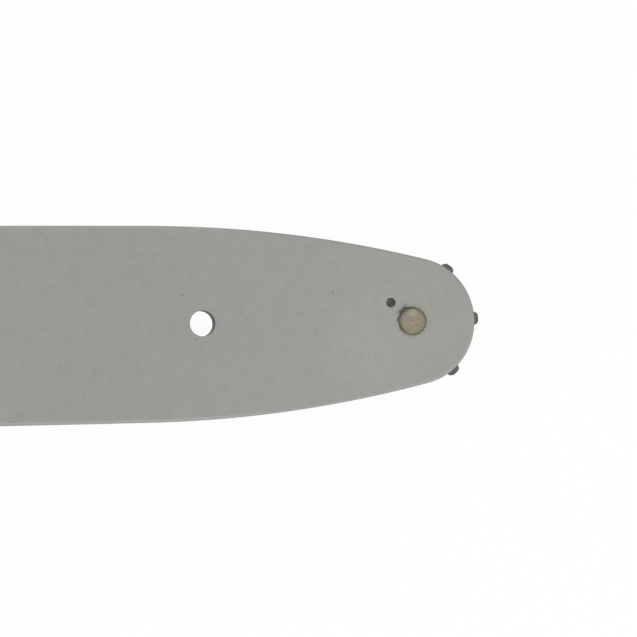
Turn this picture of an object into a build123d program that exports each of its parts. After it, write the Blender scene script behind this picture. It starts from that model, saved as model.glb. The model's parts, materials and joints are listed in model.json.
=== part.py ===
from build123d import *
import math
import os

# Laminated sprocket-nose guide bar lying on its back plate, in millimetres.
# X runs to the nose, Y across the bar, Z up out of the front plate; the stud slot's middle is at X = Y = 0.

# Outline of the side plates
NOSE_REACH = 302.0           # slot middle to sprocket axis
TAIL_REACH = 42.0            # slot middle to tail end
BAR_WIDTH = 49.4             # at the widest point of the belly
WIDEST_AT = 156.0            # slot middle to the widest point
NOSE_RADIUS = 15.85
FLANK_RADIUS = 300.0         # long arc that runs from the belly in to the nose
BELLY_RADIUS = 7000.0        # slight crown that keeps the chain on the rails
TAIL_CORNER_RADIUS = 14.0

# Laminations and chain groove
PLATE_THICKNESS = 1.35
GROOVE_WIDTH = 1.30          # gauge of the chain, and thickness of the core
GROOVE_DEPTH = 6.3
RAIL_BEVEL = 0.3             # ground off the outer edge of each rail, measured down the edge
RAIL_BEVEL_WIDTH = 0.5       # the same bevel measured across the face
HEEL_FLARE = 0.4             # opens the groove where the chain enters at the tail

# Holes through the bar
SLOT_WIDTH = 8.3             # takes the saw's two studs
SLOT_LENGTH = 60.0
ADJUSTER_HOLE_DIAMETER = 6.6
ADJUSTER_SPREAD = 22.0       # between the upper and the lower hole
ADJUSTER_AT = 4.0
OIL_HOLE_DIAMETER = 3.6
OIL_AT = 24.0
HANG_HOLE_DIAMETER = 6.35
HANG_HOLE_SETBACK = 53.0     # behind the sprocket axis

# Nose rivet
RIVET_DIAMETER = 5.8
RIVET_FIT = 0.02             # radial, in the race and the plates
RIVET_HEAD_DIAMETER = 6.5
RIVET_HEAD_DEPTH = 0.9       # from the face to where the flare starts
RIVET_HEAD_GAP = 0.2         # open ring around the head, at the face
RIVET_RECESS = 0.05          # head below the face
RIVET_HEAD_CHAMFER = 0.12    # broken edge of each head

# Roller bearing
RACE_DIAMETER = 11.8
ROLLER_DIAMETER = 2.4
ROLLER_END_CHAMFER = 0.12
ROLLER_GAP = 0.05            # least room between neighbours
BEARING_PLAY = 0.03          # radial, on each side of a roller
SIDE_PLAY = 0.075            # between a turning piece and the side plate
GREASE_HOLE_DIAMETER = 2.3
GREASE_HOLE_ANGLE = 139.0

# Nose sprocket
TEETH = 7
TOOTH_PROUD = 1.25           # tooth tips beyond the nose arc
TOOTH_TIP_WIDTH = 2.85
TOOTH_TIP_ROUNDING = 0.85
SPROCKET_WALL = 2.4          # ring between the bearing and the gullets
GULLET_RADIUS = 3.6
FIRST_TOOTH_ANGLE = 2.2
POCKET_CLEARANCE = 0.6       # core to tooth tips

# Levels and radii that follow from the sizes above
CORE_BOTTOM = PLATE_THICKNESS
CORE_TOP = CORE_BOTTOM + GROOVE_WIDTH
BAR_TOP = CORE_TOP + PLATE_THICKNESS
ROLLER_CIRCLE = RACE_DIAMETER / 2 + BEARING_PLAY + ROLLER_DIAMETER / 2
SPROCKET_BORE = ROLLER_CIRCLE + ROLLER_DIAMETER / 2 + BEARING_PLAY
TIP_RADIUS = NOSE_RADIUS + TOOTH_PROUD
NOSE_AXIS = Pos(NOSE_REACH, 0, 0)


def outline_arcs():
    """Centres and radii of the upper arcs from nose to tail, each tangent inside the next larger one."""
    nose = Vector(NOSE_REACH, 0)
    belly = Vector(WIDEST_AT, BAR_WIDTH / 2 - BELLY_RADIUS)
    to_belly = BELLY_RADIUS - FLANK_RADIUS
    to_nose = FLANK_RADIUS - NOSE_RADIUS
    line = nose - belly
    along = (to_belly**2 - to_nose**2 + line.length**2) / (2 * line.length)
    aside = math.sqrt(to_belly**2 - along**2)
    flank = belly + line.normalized() * along + line.normalized().rotate(Axis.Z, 90) * aside
    corner_x = TAIL_CORNER_RADIUS - TAIL_REACH
    to_corner = BELLY_RADIUS - TAIL_CORNER_RADIUS
    corner = Vector(corner_x, belly.Y + math.sqrt(to_corner**2 - (corner_x - belly.X) ** 2))
    return nose, flank, belly, corner


def heading(start, end):
    """Direction from one centre to another, in degrees."""
    return math.degrees(math.atan2(end.Y - start.Y, end.X - start.X))


def bar_outline(inset=0.0):
    """Outline of a lamination, drawn in by the inset all round."""
    nose, flank, belly, corner = outline_arcs()
    turns = [heading(flank, nose), heading(belly, flank), heading(belly, corner), 180]
    radii = [FLANK_RADIUS, BELLY_RADIUS, TAIL_CORNER_RADIUS]
    edges = [CenterArc(nose, NOSE_RADIUS - inset, -turns[0], 2 * turns[0])]
    for centre, radius, start, end in zip([flank, belly, corner], radii, turns, turns[1:]):
        upper = CenterArc(centre, radius - inset, start, end - start)
        edges += [upper, mirror(upper, about=Plane.XZ)]
    tail_x = inset - TAIL_REACH
    edges.append(Line((tail_x, corner.Y), (tail_x, -corner.Y)))
    return make_face(edges)


def half_width_at(x):
    """Half the bar's width on the belly."""
    rise = math.sqrt(BELLY_RADIUS**2 - (x - WIDEST_AT) ** 2)
    return BAR_WIDTH / 2 - BELLY_RADIUS + rise


def through_holes():
    """Stud slot, adjuster holes, oil holes and hang hole, longer than the bar is thick."""
    depth = 3 * BAR_TOP
    oil_y = half_width_at(OIL_AT) - GROOVE_DEPTH
    cutters = [extrude(SlotOverall(SLOT_LENGTH, SLOT_WIDTH), depth, both=True)]
    cutters.append(Pos(NOSE_REACH - HANG_HOLE_SETBACK, 0, 0) * Cylinder(HANG_HOLE_DIAMETER / 2, 2 * depth))
    for side in (1, -1):
        adjuster = Cylinder(ADJUSTER_HOLE_DIAMETER / 2, 2 * depth)
        cutters.append(Pos(ADJUSTER_AT, side * ADJUSTER_SPREAD / 2, 0) * adjuster)
        cutters.append(Pos(OIL_AT, side * oil_y, 0) * Cylinder(OIL_HOLE_DIAMETER / 2, 2 * depth))
    return cutters


def spread_profile(shank, head, top):
    """Half section from the bar's middle up to a flared head at the given level."""
    flare = BAR_TOP - RIVET_HEAD_DEPTH
    middle = BAR_TOP / 2
    corners = [(0, middle), (shank, middle), (shank, flare), (head, top), (0, top)]
    return Plane.XZ * make_face(Polyline(*corners, close=True))


def side_plate():
    """Front side plate: bevelled rails outside, flared heel inside, all the holes of the stamping."""
    plate = extrude(Pos(0, 0, CORE_TOP) * bar_outline(), PLATE_THICKNESS)
    face = plate.faces().sort_by(Axis.Z)[-1]
    plate = chamfer(face.outer_wire().edges(), RAIL_BEVEL_WIDTH, RAIL_BEVEL, reference=face)
    inner = plate.faces().sort_by(Axis.Z)[0]
    heel = inner.outer_wire().edges().filter_by(lambda edge: edge.center().X < TAIL_CORNER_RADIUS - TAIL_REACH)
    plate = chamfer(heel, HEEL_FLARE)
    for cutter in through_holes():
        plate -= cutter
    rivet_hole = spread_profile(RIVET_DIAMETER / 2 + RIVET_FIT, RIVET_HEAD_DIAMETER / 2 + RIVET_HEAD_GAP, BAR_TOP)
    plate -= NOSE_AXIS * revolve(rivet_hole, Axis.Z)
    grease = Pos(ROLLER_CIRCLE, 0, 0) * Cylinder(GREASE_HOLE_DIAMETER / 2, 3 * BAR_TOP)
    return plate - NOSE_AXIS * Rot(0, 0, GREASE_HOLE_ANGLE) * grease


def core_plate():
    """Middle lamination: its edge is the floor of the chain groove, its front is cut round the sprocket."""
    core = extrude(Pos(0, 0, CORE_BOTTOM) * bar_outline(GROOVE_DEPTH), GROOVE_WIDTH)
    for cutter in through_holes():
        core -= cutter
    return core - NOSE_AXIS * Cylinder(TIP_RADIUS + POCKET_CLEARANCE, 3 * BAR_TOP)


def star_outline():
    """Seven rounded teeth: tip arcs joined by straight flanks to round gullets."""
    pitch = 360 / TEETH
    tip_half = math.degrees(math.asin(TOOTH_TIP_WIDTH / 2 / TIP_RADIUS))
    gullet = Vector(SPROCKET_BORE + SPROCKET_WALL + GULLET_RADIUS, 0)
    corner = Vector(TIP_RADIUS, 0).rotate(Axis.Z, pitch / 2 - tip_half)
    reach = corner - gullet
    touch = heading(gullet, corner) + math.degrees(math.acos(GULLET_RADIUS / reach.length))
    foot = gullet + Vector(GULLET_RADIUS, 0).rotate(Axis.Z, touch)
    edges = []
    for tooth in range(TEETH):
        turn = Rot(0, 0, FIRST_TOOTH_ANGLE + (tooth + 0.5) * pitch)
        edges.append(turn * CenterArc((0, 0), TIP_RADIUS, pitch / 2 - tip_half, 2 * tip_half))
        edges.append(turn * Line(corner, foot))
        edges.append(turn * CenterArc(gullet, GULLET_RADIUS, touch, 360 - 2 * touch))
        edges.append(turn * mirror(Line(corner, foot), about=Plane.XZ))
    return make_face(edges)


def nose_sprocket():
    """Star with a plain bore for the rollers and rounded tooth tips."""
    level = CORE_BOTTOM + SIDE_PLAY
    star = extrude(Pos(0, 0, level) * star_outline(), GROOVE_WIDTH - 2 * SIDE_PLAY)
    uprights = star.edges().filter_by(Axis.Z)
    tips = uprights.filter_by(lambda edge: math.hypot(edge.center().X, edge.center().Y) > TIP_RADIUS - 0.01)
    star = fillet(tips, min(TOOTH_TIP_ROUNDING, 0.4 * TOOTH_TIP_WIDTH))
    return NOSE_AXIS * (star - Cylinder(SPROCKET_BORE, 3 * BAR_TOP))


def inner_race():
    """Ring clamped between the side plates, as thick as the core."""
    middle = Pos(NOSE_REACH, 0, BAR_TOP / 2)
    ring = Cylinder(RACE_DIAMETER / 2, GROOVE_WIDTH) - Cylinder(RIVET_DIAMETER / 2 + RIVET_FIT, 3 * BAR_TOP)
    return middle * ring


def nose_rivet():
    """Solid rivet with a head spread into each countersink, a little below the faces."""
    half = revolve(spread_profile(RIVET_DIAMETER / 2, RIVET_HEAD_DIAMETER / 2, BAR_TOP - RIVET_RECESS), Axis.Z)
    rim = half.edges().filter_by(GeomType.CIRCLE).sort_by(Axis.Z)[-1]
    half = chamfer(rim, RIVET_HEAD_CHAMFER)
    return NOSE_AXIS * (half + turned_over(half))


def turned_over(piece):
    """The same piece turned about the bar's long axis, to the other face."""
    return Pos(0, 0, BAR_TOP) * Rot(180, 0, 0) * piece


def bearing_rollers():
    """As many rollers as fit round the race."""
    share = 2 * math.degrees(math.asin((ROLLER_DIAMETER + ROLLER_GAP) / 2 / ROLLER_CIRCLE))
    count = int(360 / share)
    roller = Cylinder(ROLLER_DIAMETER / 2, GROOVE_WIDTH - 2 * SIDE_PLAY)
    roller = chamfer(roller.edges().filter_by(GeomType.CIRCLE), ROLLER_END_CHAMFER)
    level = Pos(0, 0, BAR_TOP / 2)
    turns = [Rot(0, 0, GREASE_HOLE_ANGLE + number * 360 / count) for number in range(count)]
    return [NOSE_AXIS * turn * Pos(ROLLER_CIRCLE, 0, 0) * level * roller for turn in turns]


front = side_plate()
pieces = {
    "side_plate_front": front,
    "side_plate_back": turned_over(front),
    "core_plate": core_plate(),
    "nose_sprocket": nose_sprocket(),
    "inner_race": inner_race(),
    "nose_rivet": nose_rivet(),
}
for number, roller in enumerate(bearing_rollers(), 1):
    pieces[f"bearing_roller_{number:02d}"] = roller

os.makedirs("parts", exist_ok=True)
for name, piece in pieces.items():
    export_step(piece, f"parts/{name}.step")
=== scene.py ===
import json
import math

import bpy
import numpy as np
from mathutils import Matrix, Vector
from mathutils.geometry import delaunay_2d_cdt


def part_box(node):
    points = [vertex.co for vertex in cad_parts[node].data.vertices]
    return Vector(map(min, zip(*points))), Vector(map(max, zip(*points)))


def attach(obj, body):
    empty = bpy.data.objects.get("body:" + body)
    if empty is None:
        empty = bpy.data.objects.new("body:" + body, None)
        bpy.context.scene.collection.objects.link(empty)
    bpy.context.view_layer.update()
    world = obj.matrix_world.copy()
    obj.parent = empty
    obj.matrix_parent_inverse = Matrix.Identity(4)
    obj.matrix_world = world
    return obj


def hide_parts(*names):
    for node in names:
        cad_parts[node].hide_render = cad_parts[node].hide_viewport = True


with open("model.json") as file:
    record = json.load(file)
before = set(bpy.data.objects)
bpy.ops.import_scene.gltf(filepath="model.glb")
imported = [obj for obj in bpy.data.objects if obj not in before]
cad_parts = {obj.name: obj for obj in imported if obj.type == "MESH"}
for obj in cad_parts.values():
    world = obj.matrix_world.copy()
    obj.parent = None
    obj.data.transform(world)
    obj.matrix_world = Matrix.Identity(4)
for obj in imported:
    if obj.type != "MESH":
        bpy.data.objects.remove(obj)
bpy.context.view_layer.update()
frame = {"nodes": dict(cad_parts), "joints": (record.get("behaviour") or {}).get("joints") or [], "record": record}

MM = 0.001
MIRROR = np.array([1, -1])
WHITE = (1.0, 1.0, 1.0, 1.0)

# Sizes read from the frame
MOUNTS = {mount["name"]: mount for mount in frame["record"]["mounts"]}
JOINTS = {joint["name"]: joint for joint in frame["joints"]}
NOSE = np.array(JOINTS["sprocket_spin"]["pos_m"][:2])
PLATE_LOW, PLATE_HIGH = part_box("side_plate_front")
ROLLER_LOW, ROLLER_HIGH = (np.array(corner.xy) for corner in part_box("bearing_roller_01"))
STAR_LOW, STAR_HIGH = (corner.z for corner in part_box("nose_sprocket"))
CORE_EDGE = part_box("core_plate")[1].y
RIVET_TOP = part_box("nose_rivet")[1].z
BAR_TOP = PLATE_HIGH.z
BAR_MIDDLE = BAR_TOP / 2
CORE_TOP = PLATE_LOW.z
TAIL_X = PLATE_LOW.x
HALF_WIDTH = PLATE_HIGH.y
NOSE_RADIUS = PLATE_HIGH.x - NOSE[0]
GROOVE_DEPTH = HALF_WIDTH - CORE_EDGE
ROLLER_RADIUS = (ROLLER_HIGH[0] - ROLLER_LOW[0]) / 2
ROLLER_CENTRE = (ROLLER_LOW + ROLLER_HIGH) / 2
ROLLER_CIRCLE = np.hypot(*(ROLLER_CENTRE - NOSE))
STAR_HALF = (STAR_HIGH - STAR_LOW) / 2

# Outline arcs and holes of the stampings
FLANK_RADIUS = 300 * MM
BELLY_RADIUS = 7000 * MM
WIDEST_AT = 156 * MM
TAIL_CORNER = 14 * MM
SLOT_WIDTH = 8.3 * MM
SLOT_LENGTH = 60 * MM
OIL_AT = 24 * MM
OIL_RADIUS = 1.8 * MM
GREASE_RADIUS = 1.15 * MM
GREASE_LEAD_IN = 0.2 * MM

# Inner edge of the rails: a small round, a wide flat at the heel, and the middle of each as a share
EDGE_BREAK = 0.1 * MM
EDGE_MIDDLE = 0.3
HEEL_FLARE = 0.4 * MM
HEEL_MIDDLE = 0.5
HEEL_BLEND = TAIL_X + TAIL_CORNER + np.array([-2, 2]) * MM

# Ground bevel of the rails: its widths at places along the bar, and its stations as shares of the width
BEVEL_HEIGHT = 0.3 * MM
BEVEL_EASE = 0.05 * MM
BEVEL_CORNER = 0.05 * MM
BEVEL_PLACES = NOSE[0] + np.array([-50, -36, -6, 8, 16]) * MM
BEVEL_WIDTHS = np.array([0.575, 0.4, 0.4, 0.525, 0.55]) * MM
BEVEL_STATIONS = np.array([0, 0.04, 0.14, 0.5, 0.75, 0.9, 1.0, 1.12, 1.28, 1.5, 1.8])[:, None]

# Finish numbers of a side plate, and how many strips of each edge belong to its lip at the face
FACE, GROUND, PUNCHED = range(3)
RAIL_LIP = 3
HOLE_LIP = 2
GREASE_LIP = 3

# Nose sprocket
TEETH = 7
FIRST_TOOTH = math.radians(2.2)
TIP_RADIUS = NOSE_RADIUS + 1.25 * MM
TIP_WIDTH = 2.85 * MM
TIP_ROUNDING = 1.2 * MM
BEARING_PLAY = 0.03 * MM
STAR_BORE = ROLLER_CIRCLE + ROLLER_RADIUS + BEARING_PLAY
STAR_WALL = 2.4 * MM
GULLET_RADIUS = 3.6 * MM
STAR_EDGE = 0.14 * MM

# Rivet: a shank and two spread heads that lean to one side; a wave is its height, its count and its start
SHANK_RADIUS = 2.9 * MM
SHANK_FIT = 0.02 * MM
HEAD_RADIUS = 3.2 * MM
HEAD_DEPTH = 0.9 * MM
HEAD_RECESS = BAR_TOP - RIVET_TOP
HEAD_ROUNDING = 0.12 * MM
HEAD_LEAN = 0.13 * MM
HEAD_LEAN_WAY = math.radians(-45)
HEAD_WAVE = (0.012 * MM, 5, 2)

# Face of the head: radii that its rings lie between, low waves that wind outwards, and a pressed arc
HEAD_FACE = (HEAD_RADIUS - HEAD_ROUNDING, 2.4 * MM, 0.12 * MM)
FACE_BLEND = 0.3 * MM
FACE_WAVE = 0.005 * MM
FACE_WINDING = 1400
PRESSED_RADIUS = 2.75 * MM
PRESSED_WIDTH = 0.09 * MM
PRESSED_DEPTH = 0.035 * MM
PRESSED_RISE = 1.6
PRESSED_CUT = 0.75

# Chips in the rim of the rivet's seat: angle in degrees, bite in millimetres and half width in degrees
CHIP_DEPTH = 0.3 * MM
CHIP_WAVES = ((0.05, 23, 0), (0.04, 41, 1))
CHIPS = np.array([
    [98, 0.1, 9],
    [121, 0.6, 12],
    [142, 0.53, 8.5],
    [158, 0.1, 9],
    [173, 0.42, 8.5],
    [212, 0.12, 14],
])

# Stations of the seat, from the bottom up: depth below the face, how far it opens, and 1 where chips bite
SEAT_RADIUS = 3.45 * MM
SEAT_STATIONS = np.array([
    [BAR_TOP - CORE_TOP, 0, 0],
    [HEAD_DEPTH, 0, 0],
    [CHIP_DEPTH + 0.03 * MM, 0, 0],
    [CHIP_DEPTH, 0.02 * MM, 1],
    [0.07 * MM, 0, 1],
    [0.02 * MM, 0.02 * MM, 1],
    [0, 0.08 * MM, 1],
])

# Dirt round the head; its section is shares of the way from the head to the seat, and 1 where it fills chips
DIRT_DEPTH = 0.1 * MM
DIRT_WAVES = ((0.015 * MM, 5, 0), (0.01 * MM, 13, 1))
DIRT_SAG = 0.02 * MM
DIRT_LEDGE = CHIP_DEPTH - 0.01 * MM
DIRT_FOOT = CHIP_DEPTH + 0.06 * MM
DIRT_IN_HEAD = 0.02 * MM
DIRT_IN_SEAT = 0.01 * MM
DIRT_SECTION = np.array([[1, 0], [1, 1], [1, 1], [0.7, 1], [0.3, 1], [0, 1], [0, 0]])

# Grease in the grease holes: heights above the core, and its bottom and innermost rings as shares of the hole
GREASE_FOOT = 0.06 * MM
GREASE_FILL = 0.62 * MM
GREASE_DISH = 0.22 * MM
GREASE_WAVES = ((0.06 * MM, 1, 0.6), (0.03 * MM, 3, 0))
GREASE_FIT = 0.002 * MM
GREASE_BOTTOM = 0.5
GREASE_INNER = 0.1

# Points along each run of an edge, and steps in each round and over each face
NOSE_POINTS = 97
FLANK_POINTS = 97
BELLY_POINTS = 121
CORNER_POINTS = 49
TAIL_POINTS = 9
SLOT_END_POINTS = 49
SLOT_SIDE_POINTS = 17
HOLE_POINTS = 96
SMALL_HOLE_POINTS = 64
BORE_POINTS = 128
TIP_POINTS = 7
TIP_ROUND_POINTS = 11
TOOTH_SIDE_POINTS = 7
GULLET_POINTS = 17
SEAT_POINTS = 360
RIVET_POINTS = 240
EDGE_STEPS = 4
STAR_STEPS = 6
HEAD_STEPS = 7
HEAD_FACE_STEPS = (17, 15)
GREASE_STEPS = 12

# Where the plates' tone and the rails' brightness change along the bar
MIDDLE_ZONE = NOSE[0] + np.array([-64, -42]) * MM
NOSE_ZONE = NOSE[0] + np.array([-26, 12]) * MM
BELLY_ZONE = NOSE[0] + np.array([-44, -30]) * MM

# Marks on the front plate: dark specks and the rivet's halo with a stain beside the chips; also a paler patch that
# is painted light
SPECKS = NOSE + np.array([[-57.9, 6.95], [-54.6, -3.95], [-20.1, 7.3]]) * MM
SPECK_REACH = np.array([0.12, 0.38]) * MM
PAINTED_LIGHT_PATCH = NOSE + np.array([-11.5, -7.5]) * MM
PAINTED_LIGHT_REACH = np.array([3, 17]) * MM
HALO_REACH = np.array([3.45, 4.4]) * MM
STAIN_WAY = math.radians(130)
STAIN_ZONE = np.array([3.7, 4.1]) * MM
STAIN_SPREAD = 0.55 * MM

# Walls of the holes, measured from the bar's middle: the burnished lip of the plates
LIP_ZONE = np.array([1.5, 1.65]) * MM

# Marks on the sprocket: a rubbed band under the tips, worn rounds, flat sides and the drift of rubbed lines
TIP_RUB_ZONE = TIP_RADIUS + np.array([-1.6, -0.8]) * MM
TIP_DARK_ZONE = TIP_RADIUS + np.array([-0.6, -0.2]) * MM
STAR_ROUND_ZONE = STAR_HALF + np.array([-0.16, -0.06]) * MM
STAR_SIDE_ZONE = STAR_HALF + np.array([-0.01, -0.002]) * MM
LINE_DRIFT = 0.3 * MM

# Marks on the rivet head: the olive outer part, a scored line and the dark edge; a pale patch at the top that is a
# painted highlight, and the pressed arc darkened with painted shade
OLIVE_ZONE = np.array([1.0, 2.8]) * MM
PAINTED_HIGHLIGHT_AT = NOSE + np.array([0.1, 2.2]) * MM
PAINTED_HIGHLIGHT_REACH = np.array([0.8, 2.0]) * MM
SCORE_AT = NOSE + np.array([-0.45, 0.27]) * MM
SCORE_REACH = np.array([1.15, 0.13]) * MM
PRESSED_REACH = np.array([0.05, 0.22]) * MM
PRESSED_ZONE = np.array([2.2, 2.6]) * MM
DARK_EDGE_ZONE = HEAD_RADIUS + np.array([-0.85, 0.1]) * MM

# Sides of the dirt: darker to the left and at the top, cooler where the rim is chipped
DARK_WAY = math.radians(208)
DARK_ZONE = np.array([2.6, 3.25]) * MM
TOP_WAY = math.radians(90)
TOP_ZONE = np.array([2.9, 3.3]) * MM
COOL_WAY = math.radians(135)
COOL_ZONE = np.array([2.2, 3.2]) * MM

# Edge of the core plate, where it is the floor of the groove and not the wall of a hole
GROOVE_ZONE = np.array([15, 16]) * MM
TAIL_ZONE = TAIL_X + np.array([8, 9]) * MM

# Floor, sky and lamps: each lamp's place and aim from the sprocket axis and size, in metres, and its watts
FLOOR_REACH = 6.0
FLOOR_LEVEL = -0.05 * MM
FLOOR_PAINT = (0.85, 0.85, 0.85, 1.0)
FLOOR_GLOW = 1.02
FLOOR_SHOWN = 0.93
SKY_LIGHT = 0.48
LAMPS = (
    ("low_window", (0.42, -0.5, 0.75), (-0.05, 0, 0), 0.7, 3.05),
    ("overhead", (-0.2, 0.9, 1.5), (-0.1, 0, 0), 1.4, 4.9),
)

# Camera: long lens, standing well behind the nose and a little to one side, looking down on the front plate
CAMERA_PLACE = (NOSE[0] - 353.3 * MM, -67.2 * MM, BAR_TOP + 1600 * MM)
CAMERA_AIM = (NOSE[0] - 23.801 * MM, 0.903 * MM, BAR_TOP)
CAMERA_ROLL = -0.019664
CAMERA_LENS = 373.233
CAMERA_NEAR = 0.01
CAMERA_FAR = 100
SENSOR = 36.0


def tone(red, green, blue):
    """A colour as it is seen, in steps of 255, turned into the linear colour that a shader takes."""
    seen = np.array([red, green, blue]) / 255
    linear = np.where(seen <= 0.04045, seen / 12.92, ((seen + 0.055) / 1.055) ** 2.4)
    return (*linear.tolist(), 1.0)


def arc(centre, radius, start, end, count):
    """Points of an arc, centre plus radius times the direction, and the directions themselves."""
    angle = np.linspace(start, end, count)
    way = np.stack([np.cos(angle), np.sin(angle)], axis=1)
    return np.asarray(centre) + radius * way, way


def straight(start, end, way, count):
    """Evenly spaced points from start to end, all facing the same way."""
    share = np.linspace(0, 1, count)[:, None]
    return (1 - share) * np.asarray(start) + share * np.asarray(end), np.tile(way, (count, 1))


def joined(*runs):
    """Runs that follow each other as one run; a run's last point is the next one's first."""
    points = [run[0][:-1] for run in runs]
    ways = [run[1][:-1] for run in runs]
    return np.concatenate(points), np.concatenate(ways)


def hollow(run):
    """The same run with its ways turned about, for a curve that bends into the metal."""
    points, ways = run
    return points, -ways


def mirrored(run, spot, way):
    """A run above the long axis, the spot and way where it meets the axis, and the run mirrored back."""
    middle = np.array([spot]), np.array([way])
    back = [part[:0:-1] * MIRROR for part in run]
    return tuple(np.concatenate(parts) for parts in zip(run, middle, back))


def heading(start, end):
    """Angle of the line from one point to another."""
    return math.atan2(end[1] - start[1], end[0] - start[0])


def around(count):
    """Angles evenly spaced round one turn."""
    return np.linspace(0, 2 * math.pi, count, endpoint=False)


def waves(angle, *terms):
    """Sine waves round a turn added up, each given by its height, its count in the turn and its start."""
    return sum(height * np.sin(count * angle + start) for height, count, start in terms)


def half_width_at(x):
    """Half the bar's width on the crowned belly."""
    return HALF_WIDTH - BELLY_RADIUS + math.sqrt(BELLY_RADIUS**2 - (x - WIDEST_AT) ** 2)


def bar_edge():
    """Bar outline, anticlockwise: nose, flank, belly and tail corner are arcs, each tangent to the next."""
    belly = np.array([WIDEST_AT, HALF_WIDTH - BELLY_RADIUS])
    line = NOSE - belly
    length = np.hypot(*line)
    to_belly, to_nose = BELLY_RADIUS - FLANK_RADIUS, FLANK_RADIUS - NOSE_RADIUS
    along = (to_belly**2 - to_nose**2 + length**2) / (2 * length)
    aside = math.sqrt(to_belly**2 - along**2)
    unit = line / length
    flank = belly + unit * along + np.array([-unit[1], unit[0]]) * aside
    corner_x = TAIL_X + TAIL_CORNER
    reach = BELLY_RADIUS - TAIL_CORNER
    corner = np.array([corner_x, belly[1] + math.sqrt(reach**2 - (corner_x - belly[0]) ** 2)])
    nose_end, flank_end = heading(flank, NOSE), heading(belly, flank)
    belly_end = heading(belly, corner)
    upper = joined(
        arc(NOSE, NOSE_RADIUS, 0, nose_end, NOSE_POINTS),
        arc(flank, FLANK_RADIUS, nose_end, flank_end, FLANK_POINTS),
        arc(belly, BELLY_RADIUS, flank_end, belly_end, BELLY_POINTS),
        arc(corner, TAIL_CORNER, belly_end, math.pi, CORNER_POINTS),
        straight((TAIL_X, corner[1]), (TAIL_X, 0), (-1.0, 0.0), TAIL_POINTS),
    )
    return mirrored(upper, (TAIL_X, 0.0), (-1.0, 0.0))


def round_hole(centre, radius, count=HOLE_POINTS):
    """Circle run clockwise, its ways pointing into the hole."""
    points, ways = arc(centre, radius, 2 * math.pi, 0, count + 1)
    return hollow((points[:-1], ways[:-1]))


def stud_slot():
    """Slot run clockwise: two half circles and the straights that join them."""
    radius = SLOT_WIDTH / 2
    reach = SLOT_LENGTH / 2 - radius
    quarter = math.pi / 2
    return hollow(joined(
        arc((reach, 0), radius, quarter, -quarter, SLOT_END_POINTS),
        straight((reach, -radius), (-reach, -radius), (0.0, -1.0), SLOT_SIDE_POINTS),
        arc((-reach, 0), radius, -quarter, -3 * quarter, SLOT_END_POINTS),
        straight((-reach, radius), (reach, radius), (0.0, 1.0), SLOT_SIDE_POINTS),
    ))


def rail_profile(edge):
    """Stations of a rail by place along the edge, as inset and height.

    The inner edge is broken by a small round that opens into a flat flare at the heel. The wall stands
    upright. The ground bevel falls in a straight line that eases into the face, wider along the belly than
    at the flanks."""
    x = edge[0][:, 0]
    heel = np.interp(x, HEEL_BLEND, [1.0, 0.0])
    broken = EDGE_BREAK + heel * (HEEL_FLARE - EDGE_BREAK)
    middle = broken * (EDGE_MIDDLE + heel * (HEEL_MIDDLE - EDGE_MIDDLE))
    inner = np.stack([broken, middle, 0 * x]), CORE_TOP + np.stack([0 * x, middle, broken])
    fall = BEVEL_HEIGHT * (1 - BEVEL_STATIONS)
    drop = (fall + np.sqrt(fall**2 + BEVEL_EASE**2)) / 2
    drop = drop - drop[-1:]
    drop[0] += BEVEL_CORNER
    outer = BEVEL_STATIONS * np.interp(x, BEVEL_PLACES, BEVEL_WIDTHS), BAR_TOP - drop + 0 * x
    return tuple(np.concatenate(parts) for parts in zip(inner, outer))


def wall_profile(low, high, low_round, high_round, steps):
    """Stations of an upright wall between two heights, as inset and height: each edge is a quarter round."""
    turn = np.linspace(0, math.pi / 2, steps)
    across, rise = 1 - np.sin(turn), 1 - np.cos(turn)
    inset = np.concatenate([low_round * across, high_round * across[::-1]])
    height = np.concatenate([low + low_round * rise, high - high_round * rise[::-1]])
    return inset[:, None], height[:, None]


def carried(edge, profile):
    """A profile carried along an edge: each station is the edge moved into the metal by the inset."""
    points, ways = edge
    inset, height = profile
    flat = points[None] - ways[None] * inset[:, :, None]
    level = np.broadcast_to(height[:, :, None], (*flat.shape[:2], 1))
    return np.concatenate([flat, level], axis=2)


def turned(radius, angle, height, centre=NOSE):
    """Points about an upright axis: centre plus radius times the angle's direction, at a height."""
    x, y = centre[0] + radius * np.cos(angle), centre[1] + radius * np.sin(angle)
    return np.stack(np.broadcast_arrays(x, y, height), axis=2)


def chip_reach(angle):
    """How far the seat's rim is bitten away: one bell curve for each chip, made ragged by short waves."""
    place, bite, width = CHIPS.T[:, :, None]
    bell = (bite * MM * np.exp(-(((np.degrees(angle) - place) / width) ** 2))).sum(axis=0)
    return bell * (1 + waves(angle, *CHIP_WAVES))


def seat_radius(depth):
    """Radius of the countersunk seat at a depth below the face."""
    return SEAT_RADIUS - (SEAT_RADIUS - SHANK_RADIUS - SHANK_FIT) * depth / HEAD_DEPTH


def rivet_seat(chipped):
    """Countersunk seat, clockwise: radius by depth, its rim rounded, and bitten near the face if chipped."""
    angle = 2 * math.pi - around(SEAT_POINTS)
    depth, opened, bitten = SEAT_STATIONS.T[:, :, None]
    radius = seat_radius(np.minimum(depth, HEAD_DEPTH)) + opened + chipped * bitten * chip_reach(angle)
    return turned(radius, angle, BAR_TOP - depth)


def encloses(loop, spots):
    """Even-odd test: a spot is inside a loop if a ray from it crosses the loop an odd number of times."""
    ahead = np.roll(loop, -1, axis=0)
    x, y = spots[:, 0:1], spots[:, 1:2]
    straddles = (loop[:, 1] > y) != (ahead[:, 1] > y)
    rise = np.where(ahead[:, 1] == loop[:, 1], 1.0, ahead[:, 1] - loop[:, 1])
    crossing = loop[:, 0] + (y - loop[:, 1]) / rise * (ahead[:, 0] - loop[:, 0])
    return (np.sum(straddles & (x < crossing), axis=1) % 2) == 1


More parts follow.
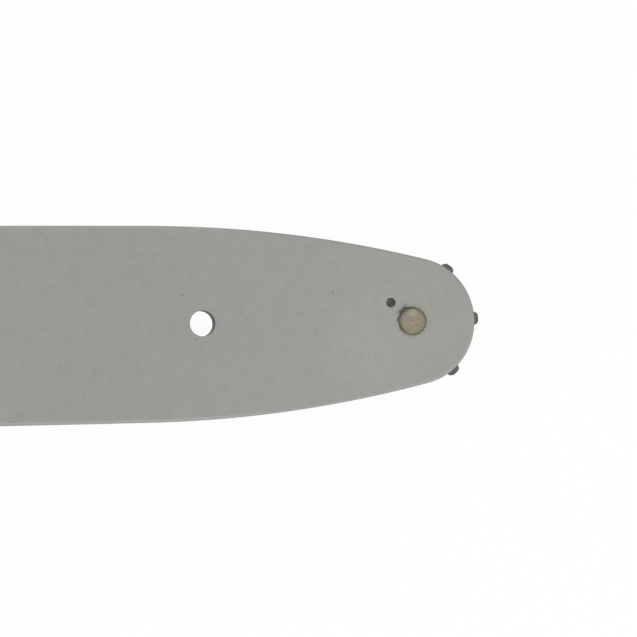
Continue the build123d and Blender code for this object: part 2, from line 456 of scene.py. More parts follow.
def filled(loops):
    """Triangles, anticlockwise, of the flat face between an outer loop and the holes in it."""
    spots = np.concatenate(loops)
    starts = np.cumsum([0] + [len(loop) for loop in loops])
    rings = [np.arange(start, end) for start, end in zip(starts, starts[1:])]
    edges = np.concatenate([np.stack([ring, np.roll(ring, -1)], axis=1) for ring in rings])
    inside_only, merge_under = 1, 1e-6
    found = delaunay_2d_cdt((spots / MM).tolist(), edges.tolist(), [], inside_only, merge_under)
    _, _, faces, origins, _, _ = found
    first = np.array([ids[0] for ids in origins])
    corners = first[np.array([face for face in faces if len(face) == 3])]
    middle = spots[corners].mean(axis=1)
    kept = encloses(loops[0], middle)
    for loop in loops[1:]:
        kept &= ~encloses(loop, middle)
    corners = corners[kept]
    a, b, c = (spots[corners[:, k]] for k in range(3))
    area = (b[:, 0] - a[:, 0]) * (c[:, 1] - a[:, 1]) - (b[:, 1] - a[:, 1]) * (c[:, 0] - a[:, 0])
    corners[area < 0] = corners[area < 0][:, ::-1]
    return corners


def quads(rows, columns, base=0, looped=False):
    """Quads of a grid whose columns close into a ring, and whose rows do too if looped."""
    number = base + np.arange(rows * columns).reshape(rows, columns)
    number = np.concatenate([number, number[:1]]) if looped else number
    after = np.roll(number, -1, axis=1)
    return np.stack([number[:-1], after[:-1], after[1:], number[1:]], axis=2).reshape(-1, 4)


def smooth_shape(spots, faces):
    """Vertices and faces with smooth flags and one finish all over."""
    return spots, faces, np.ones(len(faces), bool), np.zeros(len(faces), int)


def closed_ends(grid):
    """A turned grid as a smooth shape, its first and last rings closed to a point in their middle."""
    rows, columns = grid.shape[:2]
    poles = np.stack([grid[0].mean(axis=0), grid[-1].mean(axis=0)])
    ring = np.arange(columns)
    after, last = np.roll(ring, -1), (rows - 1) * columns
    faces = quads(rows, columns).tolist()
    faces += np.stack([after, ring, np.full(columns, rows * columns)], axis=1).tolist()
    faces += np.stack([last + ring, last + after, np.full(columns, rows * columns + 1)], axis=1).tolist()
    return smooth_shape(np.concatenate([grid.reshape(-1, 3), poles]), faces)


def edge_run(grid):
    """Way along a rim and across it: the rim's length wound round a drum, and the profile's up the drum.

    The drum's radius is the rim's length over a full turn, so that the run closes on itself."""
    step = np.linalg.norm(np.roll(grid[0], -1, axis=0) - grid[0], axis=1)
    turn = 2 * math.pi * (np.cumsum(step) - step) / step.sum()
    drum = step.sum() / (2 * math.pi)
    strip = np.linalg.norm(np.diff(grid, axis=0), axis=2).mean(axis=1)
    across = np.concatenate([[0], np.cumsum(strip)])[:, None]
    return np.stack(np.broadcast_arrays(drum * np.cos(turn), drum * np.sin(turn), across), axis=2)


def painted(rim, wall, lip=FACE, count=0):
    """Finish numbers for the strips of a rim: the wall's, and the lip's for the last few under the face."""
    return [wall] * (len(rim) - 1 - count) + [lip] * count


def pressing(rims, paints):
    """A flat pressing: rim grids, outer one first, and flat faces between their first and last stations.

    Returns vertices, faces, a smooth flag and a finish number for each face, and the run along the rims for
    each vertex. Paints holds one finish number for each strip of each rim."""
    spots = np.concatenate([grid.reshape(-1, 3) for grid in rims])
    run = np.concatenate([edge_run(grid).reshape(-1, 3) for grid in rims])
    faces, finish, lows, highs, base = [], [], [], [], 0
    for grid, paint in zip(rims, paints):
        rows, columns = grid.shape[:2]
        faces += quads(rows, columns, base).tolist()
        finish.append(np.repeat(np.asarray(paint), columns))
        lows.append(base + np.arange(columns))
        highs.append(base + (rows - 1) * columns + np.arange(columns))
        base += rows * columns
    smooth = [np.ones(len(faces), bool)]
    for numbers, upward in ((lows, False), (highs, True)):
        ids = np.concatenate(numbers)
        corners = ids[filled([spots[ring][:, :2] for ring in numbers])]
        faces += (corners if upward else corners[:, ::-1]).tolist()
        smooth.append(np.zeros(len(corners), bool))
        finish.append(np.full(len(corners), FACE))
    return spots, faces, np.concatenate(smooth), np.concatenate(finish), run


def made(name, shape, finishes, body, node=None):
    """A finished piece on its body and in its slot, in place of a node if one is given.

    Its shape is vertices, faces, smooth flags and finish numbers, and a pressing's run along its rims."""
    spots, faces, smooth, finish, *run = shape
    mesh = bpy.data.meshes.new(name)
    mesh.from_pydata(np.asarray(spots).tolist(), [], faces)
    for way in run:
        mesh.attributes.new("edge_run", "FLOAT_VECTOR", "POINT").data.foreach_set("vector", way.ravel())
    mesh.polygons.foreach_set("use_smooth", smooth)
    mesh.polygons.foreach_set("material_index", finish.astype(np.int32))
    for entry in finishes:
        mesh.materials.append(entry)
    mesh.update()
    mesh.validate()
    piece = bpy.data.objects.new(name, mesh)
    bpy.context.scene.collection.objects.link(piece)
    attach(piece, body)
    if node:
        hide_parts(node)


def side_plate_shape(chipped):
    """Front side plate: the bar's edge and its holes, each a profile carried along a closed edge."""
    edge = bar_edge()
    rail = carried(edge, rail_profile(edge))
    oil_y = half_width_at(OIL_AT) - GROOVE_DEPTH
    holes = [stud_slot()]
    holes += [round_hole((OIL_AT, y), OIL_RADIUS, SMALL_HOLE_POINTS) for y in (oil_y, -oil_y)]
    for name in ("adjuster_hole_upper", "adjuster_hole_lower", "hang_hole"):
        mount = MOUNTS[name]
        holes.append(round_hole(mount["pos_m"][:2], mount["dims"]["r_mm"] * MM))
    plain = wall_profile(CORE_TOP, BAR_TOP, EDGE_BREAK, EDGE_BREAK, EDGE_STEPS)
    walls = [carried(hole, plain) for hole in holes]
    led_in = wall_profile(CORE_TOP, BAR_TOP, EDGE_BREAK, GREASE_LEAD_IN, EDGE_STEPS)
    grease = carried(round_hole(ROLLER_CENTRE, GREASE_RADIUS, SMALL_HOLE_POINTS), led_in)
    seat = rivet_seat(chipped)
    paints = [painted(rail, GROUND, FACE, RAIL_LIP)]
    paints += [painted(wall, PUNCHED, FACE, HOLE_LIP) for wall in walls]
    paints += [painted(grease, PUNCHED, GROUND, GREASE_LIP), painted(seat, PUNCHED)]
    return pressing([rail, *walls, grease, seat], paints)


def turned_over(shape):
    """The same shape turned about the bar's long axis, to the other face."""
    spots, *rest = shape
    return spots * np.array([1, -1, -1]) + np.array([0, 0, BAR_TOP]), *rest


def tooth_edge():
    """One pitch of the star, from tooth to tooth.

    Half of it is a tip arc, a rounded corner, a straight flank and a gullet arc, each tangent to the next.
    The other half is the first one mirrored."""
    half = math.pi / TEETH
    gullet = np.array([STAR_BORE + STAR_WALL + GULLET_RADIUS, 0])
    corner_angle = half - math.asin(TIP_WIDTH / 2 / TIP_RADIUS)
    corner = TIP_RADIUS * np.array([math.cos(corner_angle), math.sin(corner_angle)])
    touch = heading(gullet, corner) + math.acos(GULLET_RADIUS / np.hypot(*(corner - gullet)))
    foot = gullet + GULLET_RADIUS * np.array([math.cos(touch), math.sin(touch)])
    down = (foot - corner) / np.hypot(*(foot - corner))
    out = np.array([down[1], -down[0]])
    out = out * np.sign(np.dot(out, gullet - corner))
    start = corner - out * TIP_ROUNDING
    dot, reach = np.dot(start, down), TIP_RADIUS - TIP_ROUNDING
    step = -dot - math.sqrt(dot**2 - np.dot(start, start) + reach**2)
    centre = start + down * step
    lean, face = heading((0, 0), centre), heading((0, 0), out)
    run = joined(
        arc((0, 0), TIP_RADIUS, half, lean, TIP_POINTS),
        arc(centre, TIP_ROUNDING, lean, face, TIP_ROUND_POINTS),
        straight(centre + out * TIP_ROUNDING, foot, out, TOOTH_SIDE_POINTS),
        hollow(arc(gullet, GULLET_RADIUS, touch, math.pi, GULLET_POINTS)),
    )
    return mirrored(run, (STAR_BORE + STAR_WALL, 0.0), (1.0, 0.0))


def star_edge():
    """Star outline, anticlockwise: one pitch repeated round the axis."""
    points, ways = (part[::-1] for part in tooth_edge())
    turn = FIRST_TOOTH + (np.arange(TEETH) + 0.5) * 2 * math.pi / TEETH
    spin = np.stack([np.cos(turn), -np.sin(turn), np.sin(turn), np.cos(turn)], axis=1).reshape(-1, 2, 2)
    spun = [np.einsum("tij,nj->tni", spin, part).reshape(-1, 2) for part in (points, ways)]
    return NOSE + spun[0], spun[1]


def star_shape():
    """Nose sprocket: rounded edges carried round the star and its bore."""
    outside = wall_profile(STAR_LOW, STAR_HIGH, STAR_EDGE, STAR_EDGE, STAR_STEPS)
    inside = wall_profile(STAR_LOW, STAR_HIGH, STAR_EDGE / 2, STAR_EDGE / 2, STAR_STEPS)
    rims = [carried(star_edge(), outside), carried(round_hole(NOSE, STAR_BORE, BORE_POINTS), inside)]
    return pressing(rims, [painted(rim, FACE) for rim in rims])


def head_lean(angle):
    """How far the head is spread beyond its round: most on one side, least on the other."""
    return HEAD_LEAN * np.cos(angle - HEAD_LEAN_WAY) + waves(angle, HEAD_WAVE)


def rivet_shape():
    """Rivet turned about its axis, the same at both ends.

    A half section gives radius and height from the shank out to the head's edge and in over its face. The
    face has low waves, sines of the angle and the radius. An arc is pressed in a little inside the edge, as a
    bell curve of the radius that fades with the cosine of the angle from the leaning side."""
    angle = around(RIVET_POINTS)
    turn = np.linspace(0, math.pi / 2, HEAD_STEPS)
    top = RIVET_TOP - BAR_MIDDLE
    inset, drop = HEAD_ROUNDING * (1 - np.cos(turn)), HEAD_ROUNDING * (1 - np.sin(turn))
    shank = [[SHANK_RADIUS, 0], [SHANK_RADIUS, BAR_MIDDLE - HEAD_DEPTH]]
    edge = np.stack([HEAD_RADIUS - inset, top - drop], axis=1)
    rings = [np.linspace(*ends)[1:] for ends in zip(HEAD_FACE, HEAD_FACE[1:], HEAD_FACE_STEPS)]
    reach = np.concatenate(rings)
    half = np.concatenate([shank, edge, np.stack([reach, np.full(len(reach), top)], axis=1)])
    base, level = half[:, :1], half[:, 1:]
    head = np.arange(len(half))[:, None] >= len(shank)
    radius = base + head * head_lean(angle) * np.minimum(base / HEAD_RADIUS, 1)
    swell = waves(angle, (1, 3, 1), (1, 5, base * FACE_WINDING)) * np.sin(math.pi * base / HEAD_RADIUS)
    arc_side = np.clip(PRESSED_RISE * np.cos(angle - HEAD_LEAN_WAY) - PRESSED_CUT, 0, 1)
    pressed = arc_side * np.exp(-(((radius - PRESSED_RADIUS) / PRESSED_WIDTH) ** 2))
    face = (level >= top) * np.clip((HEAD_RADIUS - base) / FACE_BLEND, 0, 1)
    height = level - face * (FACE_WAVE * (2 - swell) + PRESSED_DEPTH * pressed)
    upper = turned(radius, angle, BAR_MIDDLE + height)
    lower = turned(radius, angle, BAR_MIDDLE - height)[:0:-1]
    return closed_ends(np.concatenate([lower, upper]))


def dirt_shape(chipped):
    """Dirt packed between the head and its seat: a closed ring.

    Each station of its section is a share of the way from the head's wall to the seat's, at a depth. The top
    sags between the walls."""
    angle = around(SEAT_POINTS)
    top = DIRT_DEPTH + waves(angle, *DIRT_WAVES)
    foot, ledge = np.full_like(top, DIRT_FOOT), np.full_like(top, DIRT_LEDGE)
    depth = np.stack([foot, ledge, top, top + DIRT_SAG, top + DIRT_SAG, top, foot])
    slope = (HEAD_RADIUS - SHANK_RADIUS) / (HEAD_DEPTH - HEAD_RECESS)
    wall = HEAD_RADIUS - slope * (depth - HEAD_RECESS) + head_lean(angle) - DIRT_IN_HEAD
    share, bitten = DIRT_SECTION.T[:, :, None]
    seat = seat_radius(depth) + chipped * bitten * chip_reach(angle) + DIRT_IN_SEAT
    grid = turned(wall + share * (seat - wall), angle, BAR_TOP - depth)
    return smooth_shape(grid.reshape(-1, 3), quads(*grid.shape[:2], looped=True).tolist())


def grease_shape():
    """Grease in a grease hole: up the hole's wall, then in over a dished and slumped top."""
    angle = around(SMALL_HOLE_POINTS)
    reach = np.concatenate([[GREASE_BOTTOM, 1], np.linspace(1, GREASE_INNER, GREASE_STEPS)])[:, None]
    raised = np.concatenate([[0, 0], np.ones(GREASE_STEPS)])[:, None]
    fill = GREASE_FILL + GREASE_DISH * reach**3 + reach * waves(angle, *GREASE_WAVES)
    height = CORE_TOP + GREASE_FOOT + raised * fill
    return closed_ends(turned((GREASE_RADIUS - GREASE_FIT) * reach, angle, height, ROLLER_CENTRE))


class Level:
    """A number that varies over a surface: a socket with Python's arithmetic, a Math node to an operation."""

    def __init__(self, finish, socket):
        self.finish = finish
        self.socket = socket

    def __add__(self, other):
        return self.finish.maths("ADD", self, other)

    def __sub__(self, other):
        return self.finish.maths("SUBTRACT", self, other)

    def __rsub__(self, other):
        return self.finish.maths("SUBTRACT", other, self)

    def __mul__(self, other):
        return self.finish.maths("MULTIPLY", self, other)

    def __truediv__(self, other):
        return self.finish.maths("DIVIDE", self, other)

    def __rtruediv__(self, other):
        return self.finish.maths("DIVIDE", other, self)

    def __abs__(self):
        return self.finish.maths("ABSOLUTE", self)

    __radd__ = __add__
    __rmul__ = __mul__

    def ragged(self, noise, width):
        """The level shifted to and fro by a noise, over a width in all."""
        return self + (noise - 0.5) * width


class Finish:
    """A finish being written: nodes, arithmetic on levels and the shader at the end."""

    def __init__(self, holder):
        holder.use_nodes = True
        self.holder = holder
        self.tree = holder.node_tree
        self.tree.nodes.clear()

    def node(self, kind, settings=None, inputs=None):
        """Any node: its settings are set first, then the values or links of its sockets."""
        found = self.tree.nodes.new(kind)
        for key, value in (settings or {}).items():
            setattr(found, key, value)
        for key, value in (inputs or {}).items():
            value = value.socket if isinstance(value, Level) else value
            if isinstance(value, bpy.types.NodeSocket):
                self.tree.links.new(value, found.inputs[key])
            else:
                found.inputs[key].default_value = value
        return found

    def maths(self, operation, *terms):
        """A Math node on levels and plain numbers."""
        found = self.node("ShaderNodeMath", {"operation": operation}, dict(enumerate(terms)))
        return Level(self, found.outputs[0])

    def vector(self, operation, first, second):
        """A Vector Math node on two vectors."""
        return self.node("ShaderNodeVectorMath", {"operation": operation}, {0: first, 1: second}).outputs

    def place(self):
        """The surface's place, in the piece's own metres."""
        return self.node("ShaderNodeTexCoord").outputs["Object"]

    def edge_run(self):
        """The way along and across a rim, in metres, as the mesh carries it."""
        return self.node("ShaderNodeAttribute", {"attribute_name": "edge_run"}).outputs["Vector"]

    def along(self, axis):
        """One coordinate of the surface's place, in metres."""
        return Level(self, self.node("ShaderNodeSeparateXYZ", None, {"Vector": self.place()}).outputs[axis])

    def toward(self, way):
        """Distance from the sprocket axis along one way, given as an angle, in metres."""
        x, y = self.along("X") - NOSE[0], self.along("Y") - NOSE[1]
        return x * math.cos(way) + y * math.sin(way)

    def off_middle(self):
        """Distance from the plane in the middle of the bar's thickness, in metres."""
        return abs(self.along("Z") - BAR_MIDDLE)

    def apart(self, spot):
        """Distance from a spot, in metres."""
        return Level(self, self.vector("DISTANCE", self.place(), spot)["Value"])

    def radius(self):
        """Distance from the sprocket axis, in metres."""
        flat = self.vector("MULTIPLY", self.place(), (1, 1, 0))["Vector"]
        return Level(self, self.vector("DISTANCE", flat, (*NOSE, 0))["Value"])

    def ease(self, level, start, end):
        """0 below start, 1 above end and a smooth rise between."""
        found = self.node("ShaderNodeMapRange", {"interpolation_type": "SMOOTHSTEP"},
                          {"Value": level, "From Min": start, "From Max": end})
        return Level(self, found.outputs["Result"])

    def fade(self, level, start, end):
        """1 below start, 0 above end and a smooth fall between."""
        return 1 - self.ease(level, start, end)

    def noise(self, scale, detail=2.0, rough=0.5, stretch=(1, 1, 1), place=None):
        """Cloudy noise, 0 to 1, with features one over scale metres wide, drawn out by the stretch."""
        place = self.place() if place is None else place
        drawn = self.node("ShaderNodeMapping", {"vector_type": "POINT"}, {"Vector": place, "Scale": stretch})
        found = self.node("ShaderNodeTexNoise", None, {
            "Vector": drawn.outputs[0], "Scale": scale, "Detail": detail, "Roughness": rough})
        return Level(self, found.outputs[0])

    def blend(self, share, first, second):
        """The first colour where the share is 0, the second where it is 1."""
        return self.node("ShaderNodeMix", {"data_type": "RGBA"}, {0: share, 6: first, 7: second}).outputs[2]

    def shaded(self, colour, level):
        """A colour times a level."""
        found = self.node("ShaderNodeVectorMath", {"operation": "SCALE"}, {0: colour, "Scale": level})
        return found.outputs[0]

    def bump(self, height, distance):
        """A normal bent by a height that runs from 0 to 1 over the distance in metres."""
        found = self.node("ShaderNodeBump", None, {"Height": height, "Distance": distance, "Strength": 1.0})
        return found.outputs[0]

    def seen(self):
        """1 for the camera's own rays, reflections and looks through glass, 0 for light."""
        path = self.node("ShaderNodeLightPath").outputs
        looks = ("Is Camera Ray", "Is Glossy Ray", "Is Transmission Ray")
        direct, mirror, through = (Level(self, path[name]) for name in looks)
        return self.maths("MINIMUM", direct + mirror + through, 1.0)

    def mixed(self, share, first, second):
        """The first shader where the share is 0, the second where it is 1."""
        return self.node("ShaderNodeMixShader", None, {0: share, 1: first.outputs[0], 2: second.outputs[0]})

    def done(self, shader, output="ShaderNodeOutputMaterial"):
        """Closes the finish with its shader."""
        self.node(output, None, {"Surface": shader.outputs[0]})
        return self.holder

    def surface(self, colour, rough, metal, relief, depth):
        """Closes the finish with one surface shader, its relief running over the depth in metres."""
        normal = self.bump(relief, depth)
        return self.done(self.node("ShaderNodeBsdfPrincipled", None, {
            "Base Color": colour, "Roughness": rough, "Metallic": metal, "Normal": normal}))


def new_finish(name):
    """An empty finish for a material of the given name."""
    return Finish(bpy.data.materials.new(name))


def satin_grey():
    """Satin grey face of the side plates: soft mottling and a drawn lie along the bar under a fine grain.

    It has hairline scratches along the bar, a paler patch behind the rivet, a dirty halo round the rivet that
    is wider and darker beside the chips, and a few dark specks. The paler patch is a painted pool of light."""
    finish = new_finish("satin_grey_plate")
    cloud = finish.noise(42, detail=3.0, rough=0.55)
    mottle = finish.noise(300)
    grain = finish.noise(1600, rough=0.65)
    drawn = finish.noise(1500, rough=0.6, stretch=(0.06, 1, 1))
    pits = finish.noise(6000, rough=0.65)
    hairs = finish.ease(finish.noise(5200, rough=0.55, stretch=(0.015, 1, 1)), 0.62, 0.74)
    level = 0.69 + cloud * 0.07 + mottle * 0.12 + grain * 0.24 + drawn * 0.05 + pits * 0.13 + hairs * 0.03
    middle = finish.ease(finish.along("X"), *MIDDLE_ZONE)
    nose = finish.ease(finish.along("X"), *NOSE_ZONE)
    rear = finish.blend(middle, tone(152, 153, 147), tone(153, 154, 149))
    plain = finish.blend(nose, rear, tone(153, 156, 149))
    # Painted light: the paler patch behind the rivet is a soft pool of light painted into the colour
    pale = finish.fade(finish.apart((*PAINTED_LIGHT_PATCH, BAR_TOP)), *PAINTED_LIGHT_REACH)
    base = finish.blend(pale * 0.9, plain, tone(157, 159, 154))
    front = finish.ease(finish.along("Z"), CORE_TOP, BAR_TOP)
    chipped = finish.ease(finish.toward(STAIN_WAY), *STAIN_ZONE) * front
    halo = finish.radius().ragged(grain, 1.2 * MM) - chipped * STAIN_SPREAD
    ring = finish.fade(halo, *HALO_REACH)
    dirt = finish.blend(chipped, tone(134, 134, 121), tone(108, 106, 101))
    stained = finish.blend(ring * 0.88, finish.shaded(base, level), dirt)
    bare = 1.0
    for spot in SPECKS:
        away = finish.apart((*spot, BAR_TOP)).ragged(pits, 0.35 * MM)
        bare = bare * finish.ease(away, *SPECK_REACH)
    colour = finish.blend(bare, tone(124, 122, 115), stained)
    rough = 0.4 + cloud * 0.08 + grain * 0.1 - hairs * 0.1
    relief = pits * 0.6 + grain * 0.3 + drawn * 0.2 - hairs * 0.15
    return finish.surface(colour, rough, 0.35, relief, 0.014 * MM)


def ground_steel():
    """Ground edge of the rails: bare steel drawn along the edge by the stone, brighter along the belly."""
    finish = new_finish("ground_rail_steel")
    run = finish.edge_run()
    drawn = finish.noise(2600, rough=0.6, stretch=(0.03, 0.03, 1), place=run)
    scored = finish.noise(11000, detail=3.0, rough=0.6, stretch=(0.004, 0.004, 1), place=run)
    lines = finish.ease(scored, 0.35, 0.65)
    cloud = finish.noise(160, detail=3.0, rough=0.6)
    belly = finish.fade(finish.along("X"), *BELLY_ZONE)
    dull = finish.blend(cloud, tone(155, 156, 152), tone(162, 163, 159))
    base = finish.blend(belly * 0.8, dull, tone(165, 166, 162))
    colour = finish.shaded(base, 0.87 + drawn * 0.12 + lines * 0.14)
    rough = 0.37 + drawn * 0.14 + lines * 0.14
    return finish.surface(colour, rough, 0.3, drawn * 0.4 + lines * 0.6, 0.005 * MM)


def punched_steel():
    """Dark wall of a punched hole: a burnished lip under the face, then torn and oily metal, darkened further with
    painted shade inside the hole.
    """
    finish = new_finish("punched_hole_steel")
    tear = finish.noise(1800, detail=3.0, rough=0.6, stretch=(1, 1, 0.15))
    stain = finish.noise(400)
    lip = finish.ease(finish.off_middle().ragged(tear, 0.3 * MM), *LIP_ZONE)
    # Partly painted shade: below the lip the wall is torn and oily, and its colour is darkened further for the
    # shade inside the hole
    torn = finish.shaded(finish.blend(stain, tone(57, 58, 55), tone(72, 72, 69)), 0.8 + tear * 0.4)
    colour = finish.blend(lip * 0.5, torn, tone(104, 104, 99))
    rough = 0.55 + tear * 0.2 - lip * 0.15
    return finish.surface(colour, rough, 0.4, tear * (1 - lip), 0.012 * MM)


def hardened_steel():
    """Hardened sprocket: dark grey, rubbed paler in lines round its axis, near its tips and on its edges."""
    finish = new_finish("hardened_sprocket_steel")
    stain = finish.noise(500, detail=3.0, rough=0.6)
    grain = finish.noise(4500, detail=3.0, rough=0.65)
    wound = finish.node("ShaderNodeCombineXYZ", None, {
        "X": finish.radius() + stain * LINE_DRIFT, "Z": finish.along("Z")})
    lines = finish.ease(finish.noise(6000, detail=3.0, rough=0.6, place=wound.outputs[0]), 0.42, 0.7)
    off = finish.off_middle()
    rounds = finish.ease(off.ragged(grain, 0.12 * MM), *STAR_ROUND_ZONE)
    edge = rounds * finish.fade(off, *STAR_SIDE_ZONE)
    radius = finish.radius().ragged(stain, 1.2 * MM)
    rubbed = finish.ease(radius, *TIP_RUB_ZONE) * finish.fade(radius, *TIP_DARK_ZONE)
    worn = lines * 0.25 + rubbed * 0.3 + edge * 0.3
    dark = finish.shaded(finish.blend(stain, tone(54, 55, 57), tone(73, 74, 75)), 0.8 + grain * 0.4)
    colour = finish.blend(worn, dark, tone(124, 125, 125))
    rough = 0.42 + stain * 0.15 - worn * 0.1
    return finish.surface(colour, rough, 0.55, lines * 0.4 + grain * 0.6, 0.006 * MM)


def tarnished_rivet():
    """Rivet head: tan in the middle and olive towards the edge, blotched, with a scored line and a pale patch at
    the top that is a painted highlight.

    Its edge is dark; an arc pressed a little inside it is darkened with painted shade in its crease."""
    finish = new_finish("tarnished_rivet")
    radius = finish.radius()
    leaning = finish.toward(HEAD_LEAN_WAY)
    cloud = finish.noise(520, detail=3.0, rough=0.6)
    blotch = finish.noise(1500, detail=3.0, rough=0.65)
    outer = finish.ease(radius.ragged(cloud, 4.0 * MM), *OLIVE_ZONE)
    face = finish.blend(outer, tone(151, 141, 123), tone(141, 138, 119))
    brown = finish.blend(finish.ease(blotch, 0.42, 0.66) * 0.6, face, tone(124, 116, 100))
    # Painted highlight: a pale patch near the top of the head, standing in for light falling on it
    painted_highlight = finish.fade(finish.apart((*PAINTED_HIGHLIGHT_AT, RIVET_TOP)) + blotch * MM, *PAINTED_HIGHLIGHT_REACH)
    pale = finish.blend(painted_highlight * 0.85, brown, tone(163, 157, 137))
    long_way = (finish.along("X") - SCORE_AT[0]) / SCORE_REACH[0]
    short_way = (finish.along("Y") - SCORE_AT[1]) / SCORE_REACH[1]
    score = finish.fade(long_way * long_way + short_way * short_way, 0.2, 1.5)
    marked = finish.blend(score * 0.55, pale, tone(106, 92, 84))
    # Painted shade: the pressed arc is darkened in colour, standing in for the shade in its crease
    groove = finish.fade(abs(radius - PRESSED_RADIUS), *PRESSED_REACH)
    pressed = groove * finish.ease(leaning, *PRESSED_ZONE)
    edge = finish.ease((radius - leaning * 0.06).ragged(blotch, 0.7 * MM), *DARK_EDGE_ZONE)
    dark = finish.maths("MAXIMUM", edge * (1 - painted_highlight * 0.6) * 0.85, pressed * 0.6)
    colour = finish.blend(dark, marked, tone(111, 110, 91))
    return finish.surface(colour, 0.42 + cloud * 0.16, 0.3, cloud * 0.5 + blotch * 0.5, 0.025 * MM)


def packed_dirt():
    """Old oil and dust round the rivet: olive, darker at the left and the top, cooler beside the chips."""
    finish = new_finish("packed_dirt")
    grit = finish.noise(4200, detail=4.0, rough=0.7)
    left = finish.ease(finish.toward(DARK_WAY), *DARK_ZONE)
    top = finish.ease(finish.toward(TOP_WAY), *TOP_ZONE)
    cool = finish.ease(finish.toward(COOL_WAY), *COOL_ZONE)
    olive = finish.blend(finish.maths("MAXIMUM", left, top * 0.7), tone(133, 131, 115), tone(84, 82, 73))
    colour = finish.shaded(finish.blend(cool, olive, tone(89, 86, 83)), 0.6 + grit * 0.8)
    return finish.surface(colour, 0.75 + grit * 0.2, 0.0, grit, 0.08 * MM)


def old_grease():
    """Old grease in the grease holes: dark, a little wet, and lumpy."""
    finish = new_finish("old_grease")
    lump = finish.noise(1700)
    colour = finish.blend(finish.ease(lump, 0.35, 0.65), tone(43, 43, 41), tone(70, 69, 66))
    return finish.surface(colour, 0.5 - lump * 0.3, 0.0, lump, 0.12 * MM)


def oiled_core():
    """Core plate: plain steel under a film of old oil in the groove, darker on the walls of the holes as painted
    shade.
    """
    finish = new_finish("oiled_core_steel")
    stain = finish.noise(260, detail=4.0, rough=0.6)
    drawn = finish.noise(1800, rough=0.6, stretch=(0.05, 1, 1))
    groove = finish.ease(abs(finish.along("Y")), *GROOVE_ZONE)
    tail = finish.fade(finish.along("X"), *TAIL_ZONE)
    oiled = finish.blend(stain, tone(82, 80, 74), tone(112, 111, 105))
    # Painted shade: the core's walls inside the holes are painted darker, standing in for the shade that falls
    # there
    holes = finish.blend(stain, tone(50, 51, 48), tone(66, 66, 63))
    base = finish.blend(finish.maths("MAXIMUM", groove, tail), holes, oiled)
    colour = finish.shaded(base, 0.85 + drawn * 0.3)
    return finish.surface(colour, 0.38 + stain * 0.2, 0.5, drawn, 0.006 * MM)


def bearing_steel():
    """Rollers and race: polished steel under dark grease."""
    finish = new_finish("greased_bearing_steel")
    smear = finish.noise(900, detail=3.0, rough=0.6)
    bare = finish.ease(smear, 0.52, 0.66)
    colour = finish.blend(bare, tone(50, 49, 47), tone(104, 104, 102))
    return finish.surface(colour, 0.3 + smear * 0.25, 0.3 + bare * 0.5, smear, 0.006 * MM)


def white_ground():
    """Pale floor that shows as white and still takes the object's shadow."""
    finish = new_finish("white_ground")
    matt = finish.node("ShaderNodeBsdfDiffuse", None, {"Color": FLOOR_PAINT})
    glow = finish.node("ShaderNodeEmission", None, {"Color": WHITE, "Strength": FLOOR_GLOW})
    return finish.done(finish.mixed(finish.seen() * FLOOR_SHOWN, matt, glow))


def lay_floor():
    """A wide flat sheet just under the bar."""
    corners = np.array([[-1, -1, 0], [1, -1, 0], [1, 1, 0], [-1, 1, 0]]) * FLOOR_REACH
    mesh = bpy.data.meshes.new("ground_sheet")
    mesh.from_pydata((corners + np.array([0, 0, FLOOR_LEVEL])).tolist(), [], [(0, 1, 2, 3)])
    mesh.materials.append(white_ground())
    sheet = bpy.data.objects.new("ground_sheet", mesh)
    bpy.context.scene.collection.objects.link(sheet)


def set_sky():
    """Even pale surroundings: white where they are looked at, softer as light."""
    world = bpy.data.worlds.new("pale_room")
    bpy.context.scene.world = world
    finish = Finish(world)
    light = finish.node("ShaderNodeBackground", None, {"Color": WHITE, "Strength": SKY_LIGHT})
    shown = finish.node("ShaderNodeBackground", None, {"Color": WHITE, "Strength": 1.0})
    finish.done(finish.mixed(finish.seen(), light, shown), "ShaderNodeOutputWorld")


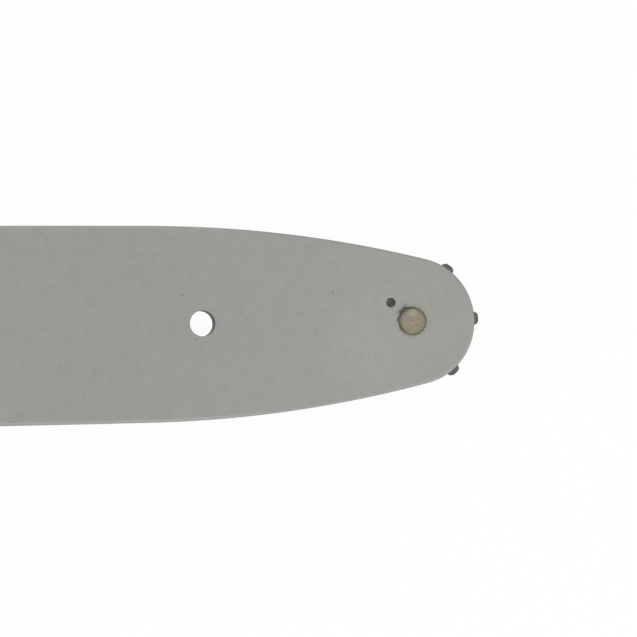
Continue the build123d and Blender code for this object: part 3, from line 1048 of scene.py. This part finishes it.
def hang_lamp(name, place, aim, size, power):
    """A square soft lamp at a place, turned to face the aim."""
    lamp = bpy.data.lights.new(name, "AREA")
    lamp.size = size
    lamp.energy = power
    fitting = bpy.data.objects.new(name, lamp)
    fitting.visible_camera = False
    bpy.context.scene.collection.objects.link(fitting)
    fitting.location = Vector((*NOSE, 0)) + Vector(place)
    fitting.rotation_mode = "QUATERNION"
    fitting.rotation_quaternion = (Vector(place) - Vector(aim)).to_track_quat("Z", "Y")


def stand_camera():
    """The long lens, with its roll about the line of sight."""
    data = bpy.data.cameras.new("long_lens")
    data.lens = CAMERA_LENS
    data.sensor_width = SENSOR
    data.clip_start, data.clip_end = CAMERA_NEAR, CAMERA_FAR
    camera = bpy.data.objects.new("long_lens", data)
    bpy.context.scene.collection.objects.link(camera)
    back = (Vector(CAMERA_PLACE) - Vector(CAMERA_AIM)).normalized()
    right = Vector((0, 1, 0)).cross(back).normalized()
    up = back.cross(right)
    facing = Matrix((right, up, back)).transposed() @ Matrix.Rotation(CAMERA_ROLL, 3, "Z")
    camera.matrix_world = Matrix.Translation(CAMERA_PLACE) @ facing.to_4x4()
    bpy.context.scene.camera = camera


def dress(node, finish):
    """A finish of its own for a solid that keeps its mesh."""
    node.data.materials.clear()
    node.data.materials.append(finish)


# The pieces
plate_finishes = [satin_grey(), ground_steel(), punched_steel()]
front, back = side_plate_shape(True), turned_over(side_plate_shape(False))
made("front_plate", front, plate_finishes, "bar_body", "side_plate_front")
made("back_plate", back, plate_finishes, "bar_body", "side_plate_back")
made("star_sprocket", star_shape(), [hardened_steel()], "sprocket", "nose_sprocket")
made("rivet", rivet_shape(), [tarnished_rivet()], "bar_body", "nose_rivet")
dirt_finish = packed_dirt()
made("rivet_dirt_front", dirt_shape(True), [dirt_finish], "bar_body")
made("rivet_dirt_back", turned_over(dirt_shape(False)), [dirt_finish], "bar_body")
grease_finish = old_grease()
made("grease_front", grease_shape(), [grease_finish], "bar_body")
made("grease_back", turned_over(grease_shape()), [grease_finish], "bar_body")
dress(frame["nodes"]["core_plate"], oiled_core())
bearing_finish = bearing_steel()
for name, node in frame["nodes"].items():
    if name == "inner_race" or name.startswith("bearing_roller"):
        dress(node, bearing_finish)

# The room
lay_floor()
set_sky()
for lamp in LAMPS:
    hang_lamp(*lamp)
stand_camera()
bpy.context.scene.view_settings.view_transform = "Standard"
